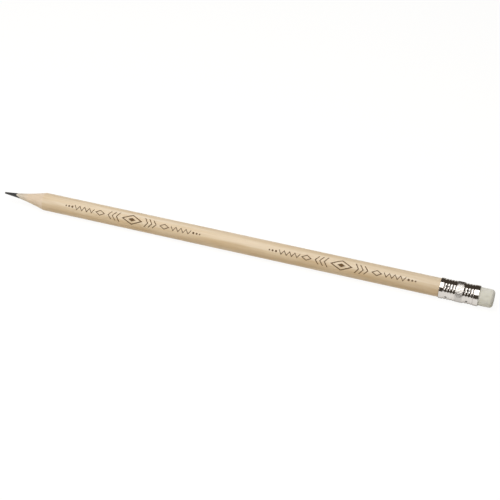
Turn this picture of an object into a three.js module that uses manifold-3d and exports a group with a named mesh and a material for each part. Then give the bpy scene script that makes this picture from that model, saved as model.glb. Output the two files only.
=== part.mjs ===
// A round wooden pencil with an eraser, lying on its side.
// Millimetres, +Z up. It lies along X, its point towards -X and its eraser towards +X.
// The origin is on the surface that it lies on, under the middle of its length.

import * as THREE from "three";
import { mergeVertices } from "three/addons/utils/BufferGeometryUtils.js";
import Module from "manifold-3d";

const wasm = await Module();
wasm.setup();

// Wood casing: two grooved slats glued face to face round the core, then turned round
const BARREL_DIAMETER = 6.8;
const BARREL_LENGTH = 153.5; // full diameter, from the sharpened cone to the ferrule
const CONE_LENGTH = 10.7; // sharpened wood
const CONE_HOLLOW = 0.14; // the sharpener leaves the cone this hollow, half-way along
const TENON_LENGTH = 7.0; // turned down, inside the ferrule

// Graphite core: a little off the barrel's axis, so more of it is bare on one side
const CORE_DIAMETER = 2.0;
const CORE_DROP = 0.16; // towards -Z
const POINT_LENGTH = 6.7; // sharpened graphite ahead of the wood cone
const POINT_TIP_DIAMETER = 0.7; // worn end of the point

// Ferrule: a thin tube. From the wood: rim, ribs, rounded band with flutes, ribs, rim
const FERRULE_WALL = 0.2;
const FERRULE_STEP = 0.26; // its rims stand this far proud of the barrel
const WOOD_RIM_LENGTH = 1.2;
const ERASER_RIM_LENGTH = 1.75;
const RIB_PITCH = 1.0;
const RIB_DEPTH = 0.16; // from crest to groove
const WOOD_RIBS = 4;
const ERASER_RIBS = 3;
const GROOVE_EDGE = 0.15; // slope from a rim or the band down to the next groove
const NECK_LENGTH = 0.3; // plain groove ahead of each set of ribs, on the wood's side
const CRIMP_DEPTH = 0.05; // the ribs over the eraser are pressed in this much further
const BAND_LENGTH = 2.7;
const BAND_RISE = 0.07; // the band swells this far past the rims
const BAND_SHOULDER = 1.0; // length over which it swells, at each end
const FLUTES = 48; // notches along the band, where it is highest
const FLUTE_DEPTH = 0.05;
const PUNCHES = 5; // prick-punch dents round each set of ribs, between its first two
const PUNCH_DIAMETER = 0.9; // across the ribs' crests
const PUNCH_ANGLE = 33; // degrees from the top towards the front, for the first dent

// Eraser: a rubber plug, squeezed inside the ferrule and swelling out at its mouth
const ERASER_LENGTH = 5.15; // outside the ferrule
const ERASER_BULGE = 0.12; // it stands this far out past the squeezed plug
const ERASER_BULGE_LENGTH = 0.15; // along the axis, at the ferrule's mouth
const ERASER_EDGE = 1.2; // radius of its rounded end edge

// Fits
const GLUE_LINE = 0.1; // between the slats, and round the core
const SEAT_GAP = 0.1; // between the ferrule and what it holds, and between wood and eraser

// Sides of the round forms. One side of each faces straight down.
const FACETS = 48;
const CORE_FACETS = 24;
const EDGE_STEPS = 4; // steps of a rounded edge
const BEAD_STEPS = 4; // steps across one rib
const SHOULDER_STEPS = 3; // steps across one shoulder of the band
const CONE_STEPS = 6; // steps along the hollow cone

// Stations along the pencil, from the tip of the point
const coneStart = POINT_LENGTH;
const barrelStart = coneStart + CONE_LENGTH;
const shoulder = barrelStart + BARREL_LENGTH;
const tenonEnd = shoulder + TENON_LENGTH;
const ferruleStart = shoulder + SEAT_GAP;
const woodRibsStart = ferruleStart + WOOD_RIM_LENGTH + GROOVE_EDGE + NECK_LENGTH;
const woodRibsEnd = woodRibsStart + WOOD_RIBS * RIB_PITCH;
const bandStart = woodRibsEnd + GROOVE_EDGE;
const bandEnd = bandStart + BAND_LENGTH;
const eraserRibsStart = bandEnd + GROOVE_EDGE + NECK_LENGTH;
const eraserRibsEnd = eraserRibsStart + ERASER_RIBS * RIB_PITCH;
const mouth = eraserRibsEnd + GROOVE_EDGE + ERASER_RIM_LENGTH;
const totalLength = mouth + ERASER_LENGTH;

// Radii
const barrelRadius = BARREL_DIAMETER / 2;
const coreRadius = CORE_DIAMETER / 2;
const tipRadius = POINT_TIP_DIAMETER / 2;
const rimRadius = barrelRadius + FERRULE_STEP;
const bandRadius = rimRadius + BAND_RISE;
const woodCrest = rimRadius;
const woodGroove = woodCrest - RIB_DEPTH;
const eraserCrest = rimRadius - CRIMP_DEPTH;
const eraserGroove = eraserCrest - RIB_DEPTH;
const tenonRadius = woodGroove - FERRULE_WALL - SEAT_GAP;
const plugRadius = eraserGroove - FERRULE_WALL - SEAT_GAP;
const headRadius = plugRadius + ERASER_BULGE;
const axisHeight = bandRadius * Math.cos(Math.PI / FACETS);

const point = (radius, station) => new THREE.Vector2(radius, station);

// Turns a profile of radius and station about the pencil's axis, which is Y here.
// Angles run from the top over the front, so half a turn is straight down.
function turned(profile) {
  return new THREE.LatheGeometry(profile, FACETS, Math.PI + Math.PI / FACETS);
}

function toSolid(geometry) {
  const plain = geometry.clone();
  plain.deleteAttribute("normal");
  plain.deleteAttribute("uv");
  const merged = mergeVertices(plain, 1e-5);
  const mesh = new wasm.Mesh({
    numProp: 3,
    vertProperties: new Float32Array(merged.attributes.position.array),
    triVerts: new Uint32Array(merged.index.array),
  });
  return new wasm.Manifold(mesh);
}

function toGeometry(solid) {
  const mesh = solid.getMesh();
  const geometry = new THREE.BufferGeometry();
  geometry.setAttribute("position", new THREE.BufferAttribute(mesh.vertProperties, 3));
  geometry.setIndex(new THREE.BufferAttribute(mesh.triVerts, 1));
  geometry.computeVertexNormals();
  return geometry;
}

// The sharpened wood, as points from the core to the barrel
function hollowCone() {
  const points = [];
  for (let step = 0; step <= CONE_STEPS; step += 1) {
    const share = step / CONE_STEPS;
    const hollow = CONE_HOLLOW * 4 * share * (1 - share);
    const radius = coreRadius + share * (barrelRadius - coreRadius) - hollow;
    points.push(point(radius, coneStart + share * CONE_LENGTH));
  }
  return points;
}

// The sharpened, turned outside of wood and core together
function sharpenedBlank() {
  return toSolid(turned([
    point(0, 0),
    point(tipRadius * 0.7, tipRadius * 0.3),
    point(tipRadius, tipRadius),
    ...hollowCone(),
    point(barrelRadius, shoulder),
    point(tenonRadius, shoulder),
    point(tenonRadius, tenonEnd),
    point(0, tenonEnd),
  ]));
}

// A straight rod on the core's own axis, past both ends of the wood
function coreRod(radius) {
  const overshoot = BARREL_DIAMETER;
  const length = tenonEnd + 2 * overshoot;
  const rod = new THREE.CylinderGeometry(radius, radius, length, CORE_FACETS);
  rod.translate(0, length / 2 - overshoot, -CORE_DROP);
  return toSolid(rod);
}

// The space on one side of the glued joint. Side 1 is the front, side -1 the back.
function halfSpace(side) {
  const depth = BARREL_DIAMETER;
  const box = new THREE.BoxGeometry(depth, tenonEnd + 2 * depth, 2 * depth);
  box.translate(side * (depth / 2 + GLUE_LINE / 2), tenonEnd / 2, 0);
  return toSolid(box);
}

function slat(side) {
  const grooved = sharpenedBlank().subtract(coreRod(coreRadius + GLUE_LINE));
  return toGeometry(grooved.intersect(halfSpace(side)));
}

function core() {
  return toGeometry(sharpenedBlank().intersect(coreRod(coreRadius)));
}

// Rounded ribs with a groove at each end, as points of the ferrule's outside
function ribs(start, count, crest, groove) {
  const points = [];
  for (let rib = 0; rib < count; rib += 1) {
    for (let step = 0; step < BEAD_STEPS; step += 1) {
      const share = step / BEAD_STEPS;
      const rise = (crest - groove) * Math.sin(Math.PI * share);
      points.push(point(groove + rise, start + (rib + share) * RIB_PITCH));
    }
  }
  points.push(point(groove, start + count * RIB_PITCH));
  return points;
}

// The same ribs from inside the tube: one point on each groove and each crest
function ribsInside(start, count, crest, groove) {
  const points = [];
  for (let rib = 0; rib < count; rib += 1) {
    points.push(point(groove - FERRULE_WALL, start + rib * RIB_PITCH));
    points.push(point(crest - FERRULE_WALL, start + (rib + 0.5) * RIB_PITCH));
  }
  points.push(point(groove - FERRULE_WALL, start + count * RIB_PITCH));
  return points;
}

// The band as one wide bead with a flat crown, raised on the rims' radius less an inset
function band(inset) {
  const rising = [];
  for (let step = 0; step <= SHOULDER_STEPS; step += 1) {
    const share = step / SHOULDER_STEPS;
    const rise = BAND_RISE * Math.sin((Math.PI / 2) * share);
    rising.push(point(rimRadius + rise - inset, bandStart + share * BAND_SHOULDER));
  }
  const falling = rising.map(({ x, y }) => point(x, bandStart + bandEnd - y));
  return [...rising, ...falling.reverse()];
}

function ferruleTube() {
  const outside = [
    point(rimRadius, ferruleStart),
    point(rimRadius, ferruleStart + WOOD_RIM_LENGTH),
    point(woodGroove, woodRibsStart - NECK_LENGTH),
    ...ribs(woodRibsStart, WOOD_RIBS, woodCrest, woodGroove),
    ...band(0),
    point(eraserGroove, eraserRibsStart - NECK_LENGTH),
    ...ribs(eraserRibsStart, ERASER_RIBS, eraserCrest, eraserGroove),
    point(rimRadius, eraserRibsEnd + GROOVE_EDGE),
    point(rimRadius, mouth),
  ];
  const inside = [
    point(rimRadius - FERRULE_WALL, ferruleStart),
    point(rimRadius - FERRULE_WALL, ferruleStart + WOOD_RIM_LENGTH),
    point(woodGroove - FERRULE_WALL, woodRibsStart - NECK_LENGTH),
    ...ribsInside(woodRibsStart, WOOD_RIBS, woodCrest, woodGroove),
    ...band(FERRULE_WALL),
    point(eraserGroove - FERRULE_WALL, eraserRibsStart - NECK_LENGTH),
    ...ribsInside(eraserRibsStart, ERASER_RIBS, eraserCrest, eraserGroove),
    point(rimRadius - FERRULE_WALL, eraserRibsEnd + GROOVE_EDGE),
    point(rimRadius - FERRULE_WALL, mouth),
  ];
  return toSolid(turned([...outside, ...inside.reverse(), outside[0]]));
}

// A square bar lying along the band, one corner inwards, cuts one flute
function flute(angle) {
  const side = FLUTE_DEPTH * Math.SQRT2;
  const bar = new THREE.BoxGeometry(side, BAND_LENGTH + 2 * GROOVE_EDGE, side);
  bar.rotateY(Math.PI / 4);
  bar.translate(0, (bandStart + bandEnd) / 2, bandRadius);
  bar.rotateY(angle);
  return toSolid(bar);
}

// A cone with its tip inwards cuts one dent between two ribs, half-way through the groove's wall
function punchDent(angle, station, crest) {
  const depth = RIB_DEPTH + FERRULE_WALL / 2;
  const cone = new THREE.ConeGeometry(PUNCH_DIAMETER, 2 * depth, 8);
  cone.rotateX(-Math.PI / 2);
  cone.translate(0, station, crest);
  cone.rotateY(angle);
  return toSolid(cone);
}

function ferrule() {
  let tube = ferruleTube();
  for (let index = 0; index < FLUTES; index += 1) {
    const angle = Math.PI + ((index + 0.5) * 2 * Math.PI) / FLUTES;
    tube = tube.subtract(flute(angle));
  }
  for (let index = 0; index < PUNCHES; index += 1) {
    const angle = THREE.MathUtils.degToRad(PUNCH_ANGLE) + (index * 2 * Math.PI) / PUNCHES;
    tube = tube.subtract(punchDent(angle, woodRibsStart + RIB_PITCH, woodCrest));
    tube = tube.subtract(punchDent(angle, eraserRibsStart + RIB_PITCH, eraserCrest));
  }
  return toGeometry(tube);
}

function eraser() {
  const profile = [
    point(0, tenonEnd + SEAT_GAP),
    point(plugRadius, tenonEnd + SEAT_GAP),
    point(plugRadius, mouth),
    point(headRadius, mouth + ERASER_BULGE_LENGTH),
  ];
  for (let step = 0; step <= EDGE_STEPS; step += 1) {
    const turn = (step / EDGE_STEPS) * (Math.PI / 2);
    profile.push(point(
      headRadius - ERASER_EDGE + ERASER_EDGE * Math.cos(turn),
      totalLength - ERASER_EDGE + ERASER_EDGE * Math.sin(turn),
    ));
  }
  profile.push(point(0, totalLength));
  return toGeometry(toSolid(turned(profile)));
}

// Looks
const wood = { color: 0xdcc49c, roughness: 0.6, metalness: 0 };
const graphite = { color: 0x39393c, roughness: 0.4, metalness: 0 };
const aluminium = { color: 0xd2d1d0, roughness: 0.2, metalness: 1 };
const rubber = { color: 0xd8d5c9, roughness: 0.8, metalness: 0 };

function piece(name, geometry, look) {
  const mesh = new THREE.Mesh(geometry, new THREE.MeshStandardMaterial(look));
  mesh.name = name;
  return mesh;
}

// The pieces are turned about Y, so this group lays that axis along X
const pencil = new THREE.Group();
pencil.rotation.z = -Math.PI / 2;
pencil.position.set(-totalLength / 2, 0, axisHeight);
pencil.add(piece("wood_slat_front", slat(1), wood));
pencil.add(piece("wood_slat_back", slat(-1), wood));
pencil.add(piece("graphite_core", core(), graphite));
pencil.add(piece("ferrule", ferrule(), aluminium));
pencil.add(piece("eraser", eraser(), rubber));

const part = new THREE.Group();
part.add(pencil);

export default part;
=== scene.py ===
"""A round pencil of lacquered wood with an eraser, lying on a white table. Metres, +Z up."""

import math

import bmesh
import bpy
from mathutils import Matrix, Vector, noise


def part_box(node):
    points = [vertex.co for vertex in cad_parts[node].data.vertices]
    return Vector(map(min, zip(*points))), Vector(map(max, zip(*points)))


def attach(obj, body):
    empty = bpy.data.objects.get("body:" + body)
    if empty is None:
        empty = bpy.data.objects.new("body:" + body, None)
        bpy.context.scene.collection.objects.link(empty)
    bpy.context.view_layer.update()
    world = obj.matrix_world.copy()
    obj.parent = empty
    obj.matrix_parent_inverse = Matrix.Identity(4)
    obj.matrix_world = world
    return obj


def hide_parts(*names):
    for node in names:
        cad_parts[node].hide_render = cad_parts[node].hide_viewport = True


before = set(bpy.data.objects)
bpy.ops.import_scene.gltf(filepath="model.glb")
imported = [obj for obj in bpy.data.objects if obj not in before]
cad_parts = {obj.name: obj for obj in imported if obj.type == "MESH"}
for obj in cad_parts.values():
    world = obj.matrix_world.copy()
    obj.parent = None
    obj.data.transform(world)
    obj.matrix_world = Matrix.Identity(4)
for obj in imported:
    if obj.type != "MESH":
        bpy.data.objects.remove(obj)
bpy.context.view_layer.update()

# Sizes in millimetres. Stations run along the pencil from the tip of the point, and angles are
# in degrees up from the front.
MM = 0.001
LENGTH = 190.0
HAIR = 0.001  # closer places count as the same

# Wood and core
BARREL_RADIUS = 3.4
BARREL_START = 17.4
CONE_START = 6.7
CONE_HOLLOW = 0.14  # half-way along the cone
CONE_STEPS = 8
SLAT_STEPS = 96  # round half a turn
SHOULDER = 170.9
SHOULDER_EDGE = 0.06
TENON_END = 177.9
TENON_RADIUS = 3.2
CORE_RADIUS = 1.0
CORE_DROP = 0.09  # the core lies this far below the barrel's axis
TIP_RADIUS = 0.35
TIP_FACE = 0.32  # radius of the point's worn end, before its edge is rounded
TIP_EDGE = 0.22
POINT_RINGS = (2.0, 4.0)
CUT_WAVES = ((3, 0.25), (4, 0.2))  # swings of the cut's edge round the core, and their reach
CUT_SETBACK = 0.45

# Ferrule. A set of ribs has a start, a count, a crest's radius and a groove's radius.
FERRULE_START = 171.0
FERRULE_WALL = 0.2
RIM_RADIUS = 3.66
RIM_EDGE = 0.09  # reach of the rounding at the tube's ends
RIM_INNER_EDGE = 0.06  # and where a rim drops to its neck
WOOD_RIM_END = 172.35
WOOD_RIBS = (172.65, 4, 3.66, 3.5)
ERASER_RIBS = (179.95, 3, 3.61, 3.45)
RIB_PITCH = 1.0
CREST_LIFT = 0.045  # a crest's corner stands proud, because its rounding lowers it
CREST_EDGE = 0.3
GROOVE_SINK = 0.05
GROOVE_EDGE = 0.04
LAST_GROOVE_EDGE = 0.05
NECK_SINK = 0.06  # the groove ahead of a set of ribs
NECK_EDGE = 0.06
BAND_START = 176.8
BAND_END = 179.5
BAND_RISE = 0.07
BAND_SHOULDER = 0.7
BAND_STEPS = 6  # along a shoulder
# Painted shade over the whole band
BAND_PAINTED_SHADE = 0.4
FLUTES = 48
FLUTE_DEPTH = 0.06
# Extra painted shade in the flute hollows
FLUTE_PAINTED_SHADE = 0.15
FLUTE_STEPS = 6  # round one flute
DENTS = 5
DENT_ANGLE = 57.0
DENT_RADIUS = 0.62
DENT_DEPTH = 0.34
ERASER_RIM_START = 183.1
MOUTH = 184.85

# Engraved border. Offsets run both ways from its middle.
MARK_CENTRES = (54.5, 135.5)
MARK_ANGLE = 45.7  # off the edges of the barrel's sides, which keeps the cut clean
MARK_DEPTH = 0.1
MARK_OVERSHOOT = 0.3  # the cutter stands this far out of the wood
CHEVRONS = ((5.0, 1.8), (6.7, 1.65), (8.4, 1.5))  # offsets and half heights
CHEVRON_REACH = 1.3
SMALL_LOZENGE_OFFSET = 13.0
ZIGZAG_OFFSET = 19.5
DOTS = ((24.5, 0.42), (25.8, 0.36), (27.0, 0.30))  # offsets and radii

# Eraser. Its rings are counted from the ferrule's mouth.
SEAT_GAP = 0.1
PLUG_RADIUS = 3.15
PLUG_EDGE = 0.3
NECK_RINGS = ((-0.3, 0.0), (-0.05, 0.02))  # with their rise over the plug
HEAD_RADIUS = 3.27
HEAD_START = 0.15
HEAD_EDGE = 0.06
HEAD_RINGS = (1.2, 2.4, 3.4)
ERASER_EDGE = 1.2
END_RING_RADIUS = 1.5
ERASER_STEPS = 128  # round a whole turn
SWELL = 0.012  # unevenness of the moulding
SWELL_START = 0.3
SWELL_SCALE = 300  # to the metre

# Finishes. The dust, and the painted shade on the eraser's end, have the stations where they start and
# end.
DUST = (6.0, 11.0)
END_SHADE = (189.0, 190.0)
STREAK_SHARE = 0.68  # of the wood's tone
FIBRE_SHARE = 0.32
# The honey colour sits low on the barrel, partly as painted shade
RING_SHARE = 0.6  # of the honey colour, which patches break up
RING_PITCH = 9.0
WAVE_UNIT = math.tau / 20  # a wave texture of this scale repeats once to the unit
LACQUER = 0.9

# Mesh settings
ROUNDING_STEPS = 6
WELD = 1e-7  # metres
SLIVER = 2e-7  # metres
WOOD_SHARP = 8  # degrees between faces

low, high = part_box("ferrule")
AXIS_HEIGHT = (low.z + high.z) / 2 / MM


def on_pencil(station, radius, angle):
    """A point by its station, its distance from the axis and its angle up from the front."""
    return MM * Vector((
        station - LENGTH / 2,
        -radius * math.cos(angle),
        AXIS_HEIGHT + radius * math.sin(angle),
    ))


def along_x(station):
    """A station's place on the object's X axis, in metres."""
    return (station - LENGTH / 2) * MM


def place_of(vert):
    """A vertex's station, distance from the axis and angle up from the front."""
    across, up = -vert.co.y / MM, vert.co.z / MM - AXIS_HEIGHT
    return vert.co.x / MM + LENGTH / 2, math.hypot(across, up), math.atan2(up, across)


# Meshes

def turned(profile, steps, turn=math.tau, closed=False):
    """Spins a profile about the pencil's axis, from the top over the front. A corner is its
    station, its radius and, where it is rounded, how far the rounding reaches along its sides."""
    bm = bmesh.new()
    verts = [bm.verts.new(on_pencil(station, radius, math.pi / 2)) for station, radius, *_ in profile]
    following = verts[1:] + verts[:1] if closed else verts[1:]
    for pair in zip(verts, following):
        bm.edges.new(pair)
    for vert, (_, _, *rounding) in zip(verts, profile):
        if rounding:
            bmesh.ops.bevel(
                bm,
                geom=[vert],
                offset=rounding[0] * MM,
                offset_type="OFFSET",
                segments=ROUNDING_STEPS,
                profile=0.5,
                affect="VERTICES",
                material=-1,
            )
    bmesh.ops.spin(
        bm,
        geom=bm.verts[:] + bm.edges[:],
        cent=(0, 0, AXIS_HEIGHT * MM),
        axis=(1, 0, 0),
        angle=turn,
        steps=steps,
        use_merge=turn == math.tau,
    )
    bmesh.ops.remove_doubles(bm, verts=bm.verts, dist=WELD)
    return bm


def smooth_faces(bm, sharp):
    """Shades the faces smooth and keeps edges over the sharp angle, in degrees, crisp."""
    for face in bm.faces:
        face.smooth = True
    for edge in bm.edges:
        if len(edge.link_faces) == 2:
            edge.smooth = edge.calc_face_angle(0) < math.radians(sharp)


def finish_mesh(bm, name, materials, sharp=35):
    """Points the faces outwards and makes the object."""
    bmesh.ops.recalc_face_normals(bm, faces=bm.faces)
    smooth_faces(bm, sharp)
    mesh = bpy.data.meshes.new(name)
    bm.to_mesh(mesh)
    bm.free()
    for material in materials:
        mesh.materials.append(material)
    piece = bpy.data.objects.new(name, mesh)
    bpy.context.scene.collection.objects.link(piece)
    return piece


# Materials

def hex_colour(text):
    """An sRGB hex value as linear RGBA."""
    parts = [int(text[i:i + 2], 16) / 255 for i in (1, 3, 5)]
    linear = [c / 12.92 if c <= 0.04045 else ((c + 0.055) / 1.055) ** 2.4 for c in parts]
    return (*linear, 1.0)


def add(tree, kind, inputs=None, stops=(), **settings):
    """Adds a node with its settings and links. An input is a value, a socket to link from or a
    node whose first socket is linked. Stops are a ramp's positions and hex colours."""
    made = tree.nodes.new(kind)
    for name, value in settings.items():
        setattr(made, name, value)
    for name, value in (inputs or {}).items():
        if isinstance(value, bpy.types.Node):
            value = value.outputs[0]
        if isinstance(value, bpy.types.NodeSocket):
            tree.links.new(value, made.inputs[name])
        else:
            made.inputs[name].default_value = value
    for index, (position, colour) in enumerate(stops):
        elements = made.color_ramp.elements
        stop = elements[index] if index < len(elements) else elements.new(position)
        stop.position = position
        stop.color = hex_colour(colour)
    return made


def scaled(tree, value, factor, plus=0.0):
    """Multiplies a value by a factor and adds another value."""
    return add(tree, "ShaderNodeMath", {0: value, 1: factor, 2: plus}, operation="MULTIPLY_ADD")


def new_material(name):
    """An empty material and its node tree."""
    material = bpy.data.materials.new(name)
    material.use_nodes = True
    material.node_tree.nodes.clear()
    return material, material.node_tree


def basswood(name, offset, tones, fibre_bump, lacquer=0.0):
    """Basswood, sanded under a thin clear lacquer or freshly cut and bare: pale, close and even,
    with faint streaks along the grain, fine fibres that break up a soft sheen, and a broad
    honey-coloured growth ring laid along the lower side, partly the wood's own colour and partly
    painted shade that deepens and warms that side. Where it is bare, graphite dust greys the cut
    next to the core."""
    material, tree = new_material(name)
    place = add(tree, "ShaderNodeTexCoord").outputs["Object"]
    # Streaks about 1.2 mm wide and 40 mm long
    streak_place = add(tree, "ShaderNodeMapping", {
        "Vector": place, "Location": offset, "Scale": (25, 830, 830)})
    streaks = add(tree, "ShaderNodeTexNoise", {
        "Vector": streak_place, "Scale": 1.0, "Detail": 3.0, "Roughness": 0.55})
    # Growth rings, far apart and nearly flat, so that one crosses the pencil and drifts along it. Their
    # phase sets the honey band on the lower side as painted shade and leaves the top cream
    ring_place = add(tree, "ShaderNodeMapping", {
        "Vector": place, "Location": (offset[0], 0.0, -AXIS_HEIGHT), "Rotation": (0.1, 0.1, 0.0),
        "Scale": (60, 1000, 1000)})
    rings_and_painted_shade = add(tree, "ShaderNodeTexWave", {
        "Vector": ring_place, "Scale": WAVE_UNIT / RING_PITCH, "Phase Offset": 3.95, "Distortion": 1.0,
        "Detail": 2.0, "Detail Scale": 0.15}, bands_direction="Z", wave_profile="SIN")
    # Fibres about 0.12 mm wide and 6 mm long
    fibre_place = add(tree, "ShaderNodeMapping", {
        "Vector": place, "Location": offset, "Scale": (170, 8300, 8300)})
    fibres = add(tree, "ShaderNodeTexNoise", {
        "Vector": fibre_place, "Scale": 1.0, "Detail": 4.0, "Roughness": 0.6})
    tone = scaled(tree, fibres, FIBRE_SHARE, scaled(tree, streaks, STREAK_SHARE))
    colour = add(tree, "ShaderNodeValToRGB", {"Fac": tone}, tones)
    # Honey-coloured patches about 3 mm wide and 14 mm long
    patch_place = add(tree, "ShaderNodeMapping", {
        "Vector": place, "Location": offset, "Scale": (70, 330, 330)})
    patches = add(tree, "ShaderNodeTexNoise", {
        "Vector": patch_place, "Scale": 1.0, "Detail": 2.0, "Roughness": 0.5})
    # Honey colour from the wood's own ring and patches, set low on the barrel so that it also paints
    # shade on the lower side, deeper under the lacquer
    honey = scaled(tree, rings_and_painted_shade.outputs["Fac"], RING_SHARE, patches)
    deepest = 0.2 + 0.6 * lacquer
    honey = add(tree, "ShaderNodeMapRange", {
        "Value": honey, "From Min": 0.55, "From Max": 1.3, "To Min": 0.0, "To Max": deepest})
    colour = add(tree, "ShaderNodeMixRGB", {
        "Fac": honey, "Color1": colour, "Color2": hex_colour("#c49e60")})
    if not lacquer:
        along = add(tree, "ShaderNodeSeparateXYZ", {"Vector": place})
        dust_start, dust_end = map(along_x, DUST)
        dust = add(tree, "ShaderNodeMapRange", {
            "Value": along.outputs["X"], "From Min": dust_start, "From Max": dust_end,
            "To Min": 0.75, "To Max": 0.0})
        colour = add(tree, "ShaderNodeMixRGB", {
            "Fac": dust, "Color1": colour, "Color2": hex_colour("#cfcabd")})
    sheen = scaled(tree, fibres, factor=0.2, plus=0.5)
    grain = add(tree, "ShaderNodeBump", {
        "Strength": fibre_bump, "Distance": 0.00004, "Height": fibres})
    shader = add(tree, "ShaderNodeBsdfPrincipled", {
        "Base Color": colour, "Roughness": sheen, "Diffuse Roughness": 0.4, "IOR": 1.5, "Normal": grain,
        "Coat Weight": lacquer, "Coat Roughness": 0.45})
    add(tree, "ShaderNodeOutputMaterial", {"Surface": shader})
    return material


def burnt_basswood():
    """Basswood scorched by an engraving laser: dry brown char, lighter where the burn was thin."""
    material, tree = new_material("laser_burnt_basswood")
    place = add(tree, "ShaderNodeTexCoord").outputs["Object"]
    # Burn flecks about 0.3 mm across
    flecks = add(tree, "ShaderNodeTexNoise", {
        "Vector": place, "Scale": 3300.0, "Detail": 3.0, "Roughness": 0.6})
    colour = add(tree, "ShaderNodeValToRGB", {"Fac": flecks}, ((0.3, "#5e462b"), (0.7, "#7e613d")))
    shader = add(tree, "ShaderNodeBsdfPrincipled", {
        "Base Color": colour, "Roughness": 0.85, "IOR": 1.45})
    add(tree, "ShaderNodeOutputMaterial", {"Surface": shader})
    return material


def sharpened_graphite():
    """Fired graphite and clay, cut by a sharpener: dark grey, with a soft metallic sheen that fine
    turning lines stretch along the point."""
    material, tree = new_material("sharpened_graphite")
    place = add(tree, "ShaderNodeTexCoord").outputs["Object"]
    # Turning lines about 0.12 mm apart, round the point
    line_place = add(tree, "ShaderNodeMapping", {"Vector": place, "Scale": (8300, 400, 400)})
    lines = add(tree, "ShaderNodeTexNoise", {
        "Vector": line_place, "Scale": 1.0, "Detail": 2.0, "Roughness": 0.5})
    colour = add(tree, "ShaderNodeValToRGB", {"Fac": lines}, ((0.3, "#1a1a1b"), (0.7, "#2a2a2a")))
    gloss = scaled(tree, lines, factor=0.2, plus=0.38)
    scratch = add(tree, "ShaderNodeBump", {
        "Strength": 0.35, "Distance": 0.00002, "Height": lines})
    shader = add(tree, "ShaderNodeBsdfPrincipled", {
        "Base Color": colour, "Roughness": gloss, "IOR": 1.7, "Normal": scratch})
    add(tree, "ShaderNodeOutputMaterial", {"Surface": shader})
    return material


def rolled_aluminium():
    """Bright aluminium sheet, drawn to a tube and rolled: mirror-like, dimmer where it is seen edge
    on, with faint lines round it and thin smears from handling. Dull grey painted shade darkens
    its band, more so its flute hollows and most its dents, which it also makes rougher."""
    material, tree = new_material("bright_rolled_aluminium")
    place = add(tree, "ShaderNodeTexCoord").outputs["Object"]
    # Drawing lines about 0.06 mm apart, round the tube
    line_place = add(tree, "ShaderNodeMapping", {"Vector": place, "Scale": (16000, 250, 250)})
    lines = add(tree, "ShaderNodeTexNoise", {
        "Vector": line_place, "Scale": 1.0, "Detail": 2.0, "Roughness": 0.5})
    # Smears about 2 mm across
    smears = add(tree, "ShaderNodeTexNoise", {
        "Vector": place, "Scale": 500.0, "Detail": 3.0, "Roughness": 0.6})
    sheet = add(tree, "ShaderNodeValToRGB", {"Fac": smears}, ((0.3, "#d2ccc6"), (0.7, "#dcd8d2")))
    # Painted shade: an attribute darkens the band, more in its flute hollows and most in the dents, and
    # roughens them
    painted_shade_and_dullness = add(tree, "ShaderNodeAttribute", attribute_name="painted_shade_and_dullness").outputs["Fac"]
    painted_shade_squared = add(tree, "ShaderNodeMath", {0: painted_shade_and_dullness, 1: painted_shade_and_dullness}, operation="MULTIPLY")
    unshaded_share = scaled(tree, painted_shade_squared, factor=-0.75, plus=1.0)
    colour = add(tree, "ShaderNodeVectorMath", {0: sheet, "Scale": unshaded_share}, operation="SCALE")
    gloss = scaled(tree, smears, factor=0.1, plus=0.08)
    gloss = scaled(tree, painted_shade_and_dullness, factor=0.45, plus=gloss)
    drawn = add(tree, "ShaderNodeBump", {
        "Strength": 0.12, "Distance": 0.00001, "Height": lines})
    shader = add(tree, "ShaderNodeBsdfPrincipled", {
        "Base Color": colour, "Metallic": 1.0, "Roughness": gloss, "Normal": drawn,
        "Specular Tint": hex_colour("#8c8780")})
    add(tree, "ShaderNodeOutputMaterial", {"Surface": shader})
    return material


def moulded_rubber():
    """Moulded white rubber: matt and slightly see-through at its edges, with a dusty, fine grain
    and grey painted shade over its end."""
    material, tree = new_material("moulded_white_rubber")
    place = add(tree, "ShaderNodeTexCoord").outputs["Object"]
    # Clouds about 2 mm across
    clouds = add(tree, "ShaderNodeTexNoise", {
        "Vector": place, "Scale": 500.0, "Detail": 3.0, "Roughness": 0.6})
    colour = add(tree, "ShaderNodeValToRGB", {"Fac": clouds}, ((0.3, "#e1dfd3"), (0.7, "#e7e5da")))
    # Painted shade: grey over the last millimetre, darkest at the end
    along = add(tree, "ShaderNodeSeparateXYZ", {"Vector": place})
    end_shade_start, end_shade_end = map(along_x, END_SHADE)
    end_shade = add(tree, "ShaderNodeMapRange", {
        "Value": along.outputs["X"], "From Min": end_shade_start, "From Max": end_shade_end,
        "To Min": 0.0, "To Max": 0.3})
    colour = add(tree, "ShaderNodeMixRGB", {
        "Fac": end_shade, "Color1": colour, "Color2": hex_colour("#a8a69d")})
    # Dusty grain about 0.1 mm across
    dust = add(tree, "ShaderNodeTexNoise", {
        "Vector": place, "Scale": 10000.0, "Detail": 2.0, "Roughness": 0.6})
    grain = add(tree, "ShaderNodeBump", {
        "Strength": 0.2, "Distance": 0.00002, "Height": dust})
    shader = add(tree, "ShaderNodeBsdfPrincipled", {
        "Base Color": colour, "Roughness": 0.9, "Diffuse Roughness": 1.0, "IOR": 1.5, "Normal": grain,
        "Subsurface Weight": 0.5, "Subsurface Radius": (1.0, 1.0, 0.95), "Subsurface Scale": 0.0008,
        "Sheen Weight": 0.6, "Sheen Roughness": 0.6})
    add(tree, "ShaderNodeOutputMaterial", {"Surface": shader})
    return material


FRONT_TONES = ((0.34, "#e0c9a4"), (0.50, "#e8d5b6"), (0.66, "#efe0c8"))
BACK_TONES = ((0.34, "#dfc7a2"), (0.50, "#e7d3b4"), (0.66, "#eedec5"))
CUT_TONES = ((0.30, "#dfcbb0"), (0.50, "#e7d4bc"), (0.70, "#eeddc8"))

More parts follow.
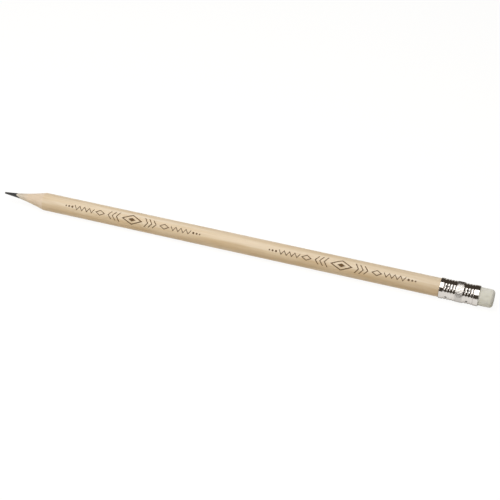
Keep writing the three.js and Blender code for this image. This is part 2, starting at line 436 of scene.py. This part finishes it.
SANDED_BUMP = 0.2
CUT_BUMP = 0.6
FRONT_GRAIN = (2.6, 8.8, 14.2)  # where in the grain each slat was sawn
BACK_GRAIN = (5.6, 13.8, 21.2)

FRONT_WOOD = basswood("lacquered_basswood_front", FRONT_GRAIN, FRONT_TONES, SANDED_BUMP, LACQUER)
BACK_WOOD = basswood("lacquered_basswood_back", BACK_GRAIN, BACK_TONES, SANDED_BUMP, LACQUER)
FRONT_CUT = basswood("sharpened_basswood_front", FRONT_GRAIN, CUT_TONES, CUT_BUMP)
BACK_CUT = basswood("sharpened_basswood_back", BACK_GRAIN, CUT_TONES, CUT_BUMP)
BURNT = burnt_basswood()
GRAPHITE = sharpened_graphite()
ALUMINIUM = rolled_aluminium()
RUBBER = moulded_rubber()


# Wood and core

def point_radius(station):
    """Radius of the sharpened graphite point at a station."""
    share = (station - TIP_RADIUS) / (CONE_START - TIP_RADIUS)
    return TIP_RADIUS + share * (CORE_RADIUS - TIP_RADIUS)


def cone_corner(share):
    """Station and radius a share of the way along the wood's cone, which is slightly hollow."""
    station = CONE_START + share * (BARREL_START - CONE_START)
    radius = CORE_RADIUS + share * (BARREL_RADIUS - CORE_RADIUS)
    return station, radius - 4 * CONE_HOLLOW * share * (1 - share)


def core_edge(angle):
    """Station and radius where the sharpened surface runs from graphite on to wood. The core lies
    a little low in the wood, so this line slants, and the knife leaves it uneven."""
    down = -math.sin(angle)
    across = CORE_DROP * math.cos(angle)
    radius = CORE_DROP * down + math.sqrt(CORE_RADIUS ** 2 - across ** 2)
    if radius < CORE_RADIUS:
        share = (radius - TIP_RADIUS) / (CORE_RADIUS - TIP_RADIUS)
        station = TIP_RADIUS + share * (CONE_START - TIP_RADIUS)
    else:
        slope = BARREL_RADIUS - CORE_RADIUS - 4 * CONE_HOLLOW
        station, _ = cone_corner((radius - CORE_RADIUS) / slope)
    station += sum(reach * math.cos(swings * angle) for swings, reach in CUT_WAVES) - CUT_SETBACK
    if station < CONE_START:
        return station, point_radius(station)
    return cone_corner((station - CONE_START) / (BARREL_START - CONE_START))


def fit_to_core(bm):
    """Moves the ring where wood and graphite meet to its slanted place, and drops the core."""
    for vert in bm.verts:
        station, radius, angle = place_of(vert)
        if abs(station - CONE_START) < HAIR:
            vert.co = on_pencil(*core_edge(angle), angle)
        elif station > BARREL_START and radius < CORE_RADIUS + HAIR:
            vert.co.z -= CORE_DROP * MM


def wood_slat(name, turn, sanded, cut):
    """Half of the casing. The cone's first step is left out, because the core's edge reaches there."""
    profile = (
        (CONE_START, CORE_RADIUS),
        *(cone_corner(step / CONE_STEPS) for step in range(2, CONE_STEPS + 1)),
        (SHOULDER, BARREL_RADIUS, SHOULDER_EDGE),
        (SHOULDER, TENON_RADIUS),
        (TENON_END, TENON_RADIUS),
        (TENON_END, CORE_RADIUS),
    )
    bm = turned(profile, SLAT_STEPS, turn, closed=True)
    fit_to_core(bm)
    open_edges = [edge for edge in bm.edges if edge.is_boundary]
    bmesh.ops.holes_fill(bm, edges=open_edges, sides=0)
    for face in bm.faces:
        station = face.calc_center_median().x / MM + LENGTH / 2
        face.material_index = int(station < BARREL_START)
    return finish_mesh(bm, name, (sanded, cut), WOOD_SHARP)


front_slat = wood_slat("wood_slat_front_look", math.pi, FRONT_WOOD, FRONT_CUT)
back_slat = wood_slat("wood_slat_back_look", -math.pi, BACK_WOOD, BACK_CUT)


def graphite_core():
    """The rod, with its point a little blunt. Its steps line up with those of the slats."""
    profile = (
        (0.0, 0.0),
        (0.0, TIP_FACE, TIP_EDGE),
        *((station, point_radius(station)) for station in POINT_RINGS),
        (CONE_START, CORE_RADIUS),
        (TENON_END, CORE_RADIUS),
        (TENON_END, 0.0),
    )
    bm = turned(profile, 2 * SLAT_STEPS)
    fit_to_core(bm)
    return finish_mesh(bm, "graphite_core_look", (GRAPHITE,), sharp=40)


core = graphite_core()


# Engraved border: lozenges, chevrons, zigzags and dots, laid out flat and bent round the barrel

def add_chevron(bm, middle, half_height, reach, stroke):
    """A bent stroke across the border, with its point reaching along it."""
    made = bmesh.ops.create_grid(bm, x_segments=1, y_segments=12, size=0.5)
    for vert in made["verts"]:
        across = 2 * half_height * vert.co.y
        bend = reach * (1 - abs(across) / half_height)
        vert.co = (middle + stroke * vert.co.x + bend, across, 0)


def add_zigzag(bm, middle, length, height, waves, stroke):
    """A stroke along the border that swings up and down by its height."""
    made = bmesh.ops.create_grid(bm, x_segments=8 * waves, y_segments=1, size=0.5)
    for vert in made["verts"]:
        swing = abs(((vert.co.x + 0.5) * waves) % 1 - 0.5) * 4 - 1
        vert.co = (middle + length * vert.co.x, height * swing + stroke * vert.co.y, 0)


def add_lozenge(bm, middle, half_length, half_height, stroke=None):
    """A lozenge, filled or, with a stroke, only its outline."""
    made = bmesh.ops.create_circle(bm, cap_ends=True, segments=4, radius=1.0)
    bmesh.ops.transform(
        bm,
        matrix=Matrix.Translation((middle, 0, 0)) @ Matrix.Diagonal((half_length, half_height, 1, 1)),
        verts=made["verts"],
    )
    face = made["verts"][0].link_faces[0]
    parts = [face]
    if stroke:
        ring = bmesh.ops.inset_individual(bm, faces=[face], thickness=stroke, use_even_offset=True)
        parts = ring["faces"]
        bmesh.ops.delete(bm, geom=[face], context="FACES_ONLY")
    sides = [edge for part in parts for edge in part.edges if edge.is_boundary]
    bmesh.ops.subdivide_edges(bm, edges=sides, cuts=6, use_grid_fill=True)


def add_dot(bm, middle, radius):
    """A filled round dot."""
    made = bmesh.ops.create_circle(bm, cap_ends=True, segments=20, radius=radius)
    bmesh.ops.translate(bm, verts=made["verts"], vec=(middle, 0, 0))


def border_cutter():
    """The border as a thick relief that goes into the wood by the depth of the marks."""
    bm = bmesh.new()
    for centre in MARK_CENTRES:
        add_lozenge(bm, centre, half_length=4.2, half_height=1.95, stroke=0.36)
        add_lozenge(bm, centre, half_length=1.5, half_height=0.7)
        for side in (-1, 1):
            for offset, half_height in CHEVRONS:
                add_chevron(bm, centre + side * offset, half_height, side * CHEVRON_REACH, stroke=0.42)
            small = centre + side * SMALL_LOZENGE_OFFSET
            add_lozenge(bm, small, half_length=2.0, half_height=1.1, stroke=0.3)
            zigzag = centre + side * ZIGZAG_OFFSET
            add_zigzag(bm, zigzag, length=8.0, height=0.75, waves=4, stroke=0.5)
            for offset, radius in DOTS:
                add_dot(bm, centre + side * offset, radius)
    lid = bmesh.ops.extrude_face_region(bm, geom=bm.faces[:], use_keep_orig=True)
    lid_verts = [item for item in lid["geom"] if isinstance(item, bmesh.types.BMVert)]
    bmesh.ops.translate(bm, verts=lid_verts, vec=(0, 0, MARK_DEPTH + MARK_OVERSHOOT))
    for vert in bm.verts:
        station, arc, height = vert.co
        angle = math.radians(MARK_ANGLE) + arc / BARREL_RADIUS
        vert.co = on_pencil(station, BARREL_RADIUS - MARK_DEPTH + height, angle)
    bmesh.ops.triangulate(bm, faces=bm.faces)
    return finish_mesh(bm, "border_cutter", (BURNT,))


def engrave(piece, cutter):
    """Cuts the border into the wood. The cut faces keep the cutter's burnt finish."""
    cut = piece.modifiers.new("engrave", "BOOLEAN")
    cut.operation = "DIFFERENCE"
    cut.solver = "EXACT"
    cut.material_mode = "TRANSFER"
    cut.object = cutter
    graph = bpy.context.evaluated_depsgraph_get()
    engraved = bpy.data.meshes.new_from_object(piece.evaluated_get(graph))
    piece.modifiers.clear()
    piece.data = engraved
    bpy.data.objects.remove(cutter)
    bm = bmesh.new()
    bm.from_mesh(engraved)
    bmesh.ops.dissolve_degenerate(bm, dist=SLIVER, edges=bm.edges)
    smooth_faces(bm, WOOD_SHARP)
    bm.to_mesh(engraved)
    bm.free()


engrave(front_slat, border_cutter())


# Ferrule

def rib_corners(start, count, crest, groove):
    """A run of rolled ribs behind a sharp neck."""
    corners = [(start, groove - NECK_SINK, NECK_EDGE)]
    for rib in range(count):
        corners.append((start + (rib + 0.5) * RIB_PITCH, crest + CREST_LIFT, CREST_EDGE))
        corners.append((start + (rib + 1) * RIB_PITCH, groove - GROOVE_SINK, GROOVE_EDGE))
    corners[-1] = (start + count * RIB_PITCH, groove, LAST_GROOVE_EDGE)
    return corners


def band_corners():
    """The band's shoulders swell from the rims' radius to a crown and sink back again."""
    shares = [step / BAND_STEPS for step in range(BAND_STEPS + 1)]
    rising = [
        (BAND_START + BAND_SHOULDER * share, RIM_RADIUS + BAND_RISE * math.sin(share * math.pi / 2))
        for share in shares
    ]
    return rising + [(BAND_START + BAND_END - station, radius) for station, radius in reversed(rising)]


def metal_ferrule():
    """The tube, with flutes pressed into its band and dents punched into its ribs. An attribute
    carries painted shade and dullness: light over the band, more in its flutes and most in the dents."""
    outside = [
        (FERRULE_START, RIM_RADIUS, RIM_EDGE),
        (WOOD_RIM_END, RIM_RADIUS, RIM_INNER_EDGE),
        *rib_corners(*WOOD_RIBS),
        *band_corners(),
        *rib_corners(*ERASER_RIBS),
        (ERASER_RIM_START, RIM_RADIUS, RIM_INNER_EDGE),
        (MOUTH, RIM_RADIUS, RIM_EDGE),
    ]
    inside = [(station, radius - FERRULE_WALL) for station, radius, *_ in reversed(outside)]
    bm = turned(outside + inside, FLUTE_STEPS * FLUTES, closed=True)
    painted_shade_and_dullness = bm.verts.layers.float.new("painted_shade_and_dullness")
    for vert in bm.verts:
        station, radius, angle = place_of(vert)
        depth = 0.0
        if BAND_START < station < BAND_END:
            wave = 0.5 - 0.5 * math.cos(FLUTES * (angle - math.pi / 2))
            depth = max(0.0, radius - RIM_RADIUS - BAND_RISE + FLUTE_DEPTH * wave)
            # Painted shade over the band, deepening in the flute hollows
            vert[painted_shade_and_dullness] = BAND_PAINTED_SHADE + FLUTE_PAINTED_SHADE * (depth / FLUTE_DEPTH) ** 2
        for start, _, crest, groove in (WOOD_RIBS, ERASER_RIBS):
            turn = math.remainder(angle - math.radians(DENT_ANGLE), math.tau / DENTS)
            reach = math.hypot(station - start - RIB_PITCH, crest * turn) / DENT_RADIUS
            if reach < 1 and radius > groove - GROOVE_SINK:
                depth = max(0.0, radius - crest + DENT_DEPTH * (1 - reach ** 2))
                # Painted shade in the dent, darkest at its middle
                vert[painted_shade_and_dullness] = 1 - reach ** 4
        vert.co = on_pencil(station, radius - depth, angle)
    return finish_mesh(bm, "ferrule_look", (ALUMINIUM,), sharp=40)


ferrule = metal_ferrule()


# Eraser

def white_eraser():
    """The plug, with a head that swells out of the ferrule's mouth and a rounded end."""
    profile = [
        (TENON_END + SEAT_GAP, 0.0),
        (TENON_END + SEAT_GAP, PLUG_RADIUS, PLUG_EDGE),
        *((MOUTH + reach, PLUG_RADIUS + rise) for reach, rise in NECK_RINGS),
        (MOUTH + HEAD_START, HEAD_RADIUS, HEAD_EDGE),
        *((MOUTH + reach, HEAD_RADIUS) for reach in HEAD_RINGS),
        (LENGTH, HEAD_RADIUS, ERASER_EDGE),
        (LENGTH, END_RING_RADIUS),
        (LENGTH, 0.0),
    ]
    bm = turned(profile, ERASER_STEPS)
    for vert in bm.verts:
        station, radius, angle = place_of(vert)
        if station > MOUTH + SWELL_START:
            swell = SWELL * noise.noise(vert.co * SWELL_SCALE)
            vert.co = on_pencil(station, radius + swell, angle)
    return finish_mesh(bm, "eraser_look", (RUBBER,), sharp=50)


eraser = white_eraser()

for piece, node in (
    (front_slat, "wood_slat_front"),
    (back_slat, "wood_slat_back"),
    (core, "graphite_core"),
    (ferrule, "ferrule"),
    (eraser, "eraser"),
):
    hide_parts(node)
    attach(piece, "root")


# Table, light and camera, in metres

TABLE_GAP = 0.00001
WHITE_SHARE = 0.83  # the rest is the card's own tone, which takes the shadow
WHITE_LEVEL = 1.1


def white_table():
    """White card just under the pencil, seen as a white ground with a faint shadow."""
    bm = bmesh.new()
    bmesh.ops.create_grid(bm, x_segments=1, y_segments=1, size=4.0)
    bmesh.ops.translate(bm, verts=bm.verts, vec=(0, 0, -TABLE_GAP))
    mesh = bpy.data.meshes.new("table")
    bm.to_mesh(mesh)
    bm.free()
    material, tree = new_material("white_table_card")
    path = add(tree, "ShaderNodeLightPath")
    seen = add(tree, "ShaderNodeMath", {
        0: path.outputs["Is Camera Ray"], 1: path.outputs["Is Glossy Ray"]}, operation="MAXIMUM")
    seen = add(tree, "ShaderNodeMath", {
        0: seen, 1: path.outputs["Is Transmission Ray"]}, operation="MAXIMUM")
    share = add(tree, "ShaderNodeMath", {0: seen, 1: WHITE_SHARE}, operation="MULTIPLY")
    card = add(tree, "ShaderNodeBsdfDiffuse", {"Color": hex_colour("#e6e3d9")})
    white = add(tree, "ShaderNodeEmission", {"Color": (1, 1, 1, 1), "Strength": WHITE_LEVEL})
    mixed = add(tree, "ShaderNodeMixShader", {0: share, 1: card, 2: white})
    add(tree, "ShaderNodeOutputMaterial", {"Surface": mixed})
    mesh.materials.append(material)
    table = bpy.data.objects.new("table", mesh)
    bpy.context.scene.collection.objects.link(table)


def add_softbox(name, place, turn, width, height, watts):
    """A rectangular lamp."""
    lamp = bpy.data.lights.new(name, "AREA")
    lamp.shape = "RECTANGLE"
    lamp.size = width
    lamp.size_y = height
    lamp.energy = watts
    softbox = bpy.data.objects.new(name, lamp)
    softbox.location = place
    softbox.rotation_euler = turn
    bpy.context.scene.collection.objects.link(softbox)


def studio_light():
    """A dim warm room with one large softbox over the pencil and one far off its point."""
    world = bpy.data.worlds.new("dim_studio")
    world.use_nodes = True
    room = world.node_tree.nodes["Background"]
    room.inputs["Color"].default_value = hex_colour("#ecd8c2")
    room.inputs["Strength"].default_value = 0.08
    bpy.context.scene.world = world
    add_softbox(
        "softbox_above",
        place=(-0.0335, -0.09, 0.3635),
        turn=(0.243, 0.0, 0.0),
        width=0.4,
        height=0.4,
        watts=1.58,
    )
    add_softbox(
        "softbox_at_point_end",
        place=(-1.1, -0.4, 0.3),
        turn=(1.32, 0.0, -1.222),
        width=0.7,
        height=0.5,
        watts=3.0,
    )


def photograph_camera():
    """The photograph's viewpoint, fitted to the pencil's ends and thickness."""
    azimuth = math.radians(18.789)
    elevation = math.radians(40.034)
    distance = 0.437797
    aim = MM * Vector((5.26, 0.0, 1.86))
    away = Vector((
        math.sin(azimuth) * math.cos(elevation),
        -math.cos(azimuth) * math.cos(elevation),
        math.sin(elevation),
    ))
    lens = bpy.data.cameras.new("camera")
    lens.sensor_width = 36.0
    lens.lens = 85.695
    lens.clip_start = 0.01
    camera = bpy.data.objects.new("camera", lens)
    camera.location = aim + distance * away
    camera.rotation_euler = (-away).to_track_quat("-Z", "Y").to_euler()
    bpy.context.scene.collection.objects.link(camera)
    bpy.context.scene.camera = camera


white_table()
studio_light()
photograph_camera()
bpy.context.scene.view_settings.view_transform = "Standard"
